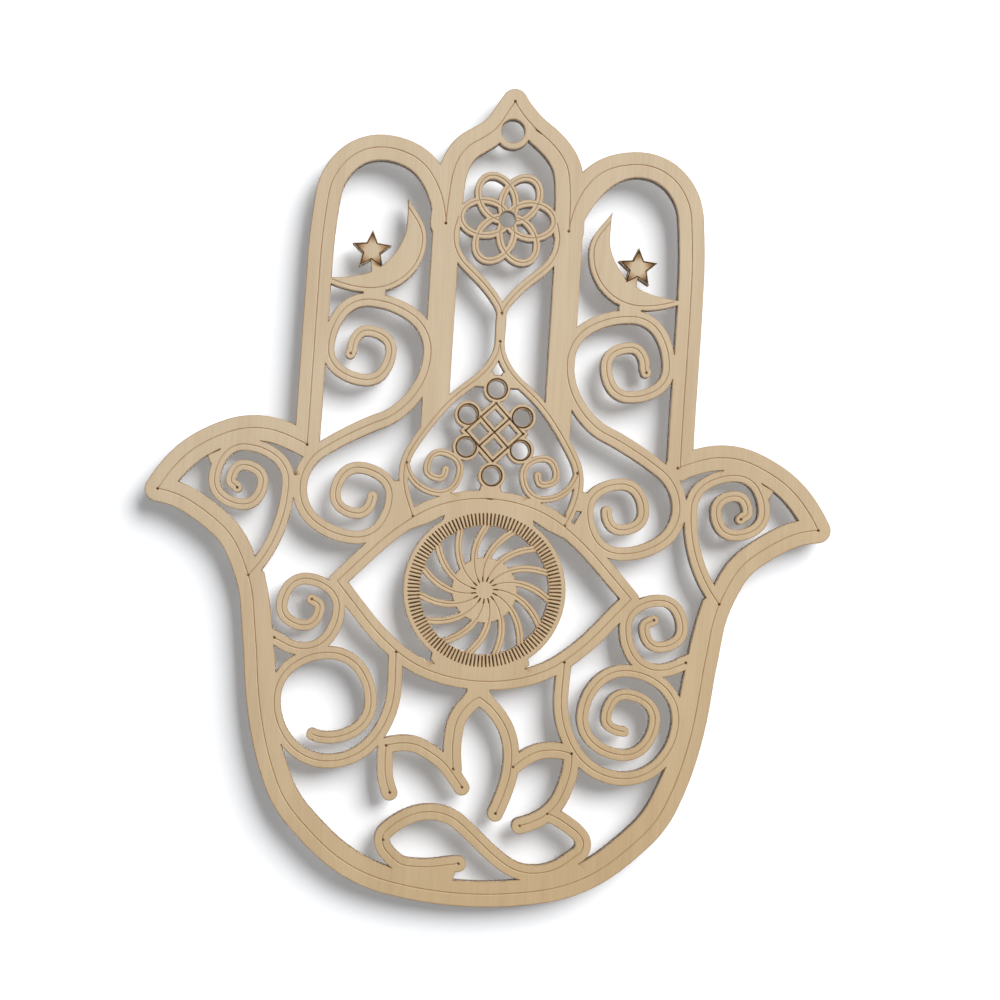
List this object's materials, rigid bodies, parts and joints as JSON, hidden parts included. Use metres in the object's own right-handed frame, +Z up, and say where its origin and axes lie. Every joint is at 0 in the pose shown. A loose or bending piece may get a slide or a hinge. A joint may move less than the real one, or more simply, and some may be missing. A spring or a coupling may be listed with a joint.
{
  "type": "hamsa hand wall ornament",
  "caption": "Flat open-hand amulet of fretted three-ply sheet, with an eye wheel, scrolls, crescents, stars and a lotus, hung by a hole in the middle fingertip.",
  "frame": {"origin": "centre of the hanging hole at the back face", "axes": "+Z up along the hand from the palm to the middle fingertip, +Y out of the back face towards the wall, +X to the right as seen from the front"},
  "size_m": [0.168, 0.003, 0.1999],
  "materials": {
    "face_veneer": "bare sanded veneer with scored brown lines on the front",
    "core_wood": "bare core wood, edges browned by the cut"
  },
  "bodies": {
    "root": {"back_veneer": "face_veneer", "core_ply": "core_wood", "front_veneer": "face_veneer"}
  },
  "joints": []
}
